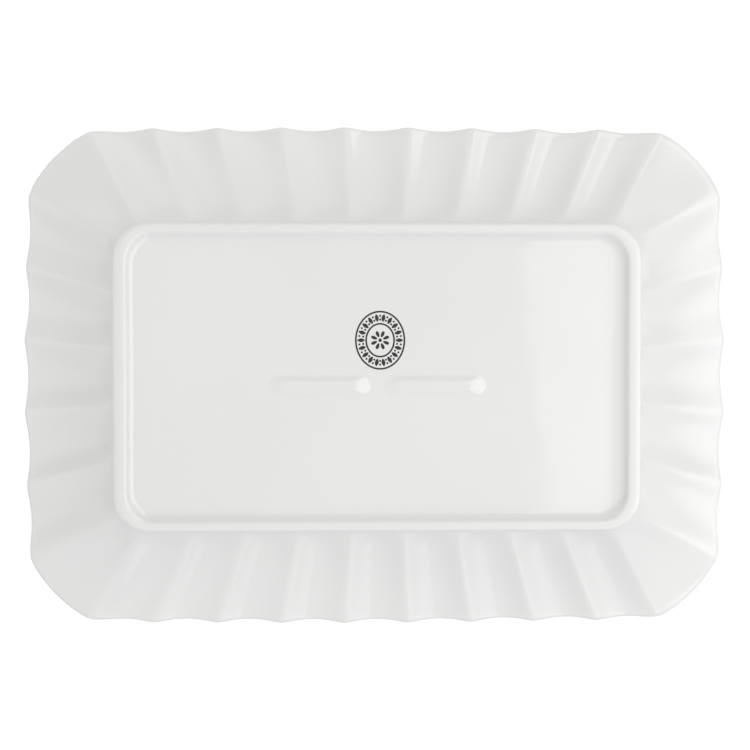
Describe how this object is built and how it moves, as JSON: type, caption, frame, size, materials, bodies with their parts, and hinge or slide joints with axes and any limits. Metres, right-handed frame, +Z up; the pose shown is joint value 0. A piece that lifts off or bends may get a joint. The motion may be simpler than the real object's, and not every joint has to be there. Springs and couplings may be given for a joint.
{
  "type": "serving platter",
  "caption": "Oblong white china serving platter with a flat well, a fluted flaring wall, rounded-off corners, a wavy rounded lip and a foot ring.",
  "frame": {"origin": "on the table surface, under the middle of the platter", "axes": "+X along the platter's length, +Y across its width, +Z up from the foot ring towards the rim"},
  "size_m": [0.3396, 0.2406, 0.0271],
  "materials": {
    "porcelain": "white hard porcelain under a clear gloss glaze, with an unglazed matt tread on the foot ring",
    "stamp_ink": "near-black green ceramic transfer print, fired onto the glaze"
  },
  "bodies": {
    "root": {"well_floor": "porcelain", "fluted_wall": "porcelain", "rim_lip": "porcelain", "foot_ring": "porcelain", "support_bar_left": "porcelain", "support_bar_right": "porcelain", "backstamp_outer_line": "stamp_ink", "backstamp_inner_line": "stamp_ink", "backstamp_bead_band": "stamp_ink", "backstamp_rosette": "stamp_ink"}
  },
  "joints": []
}
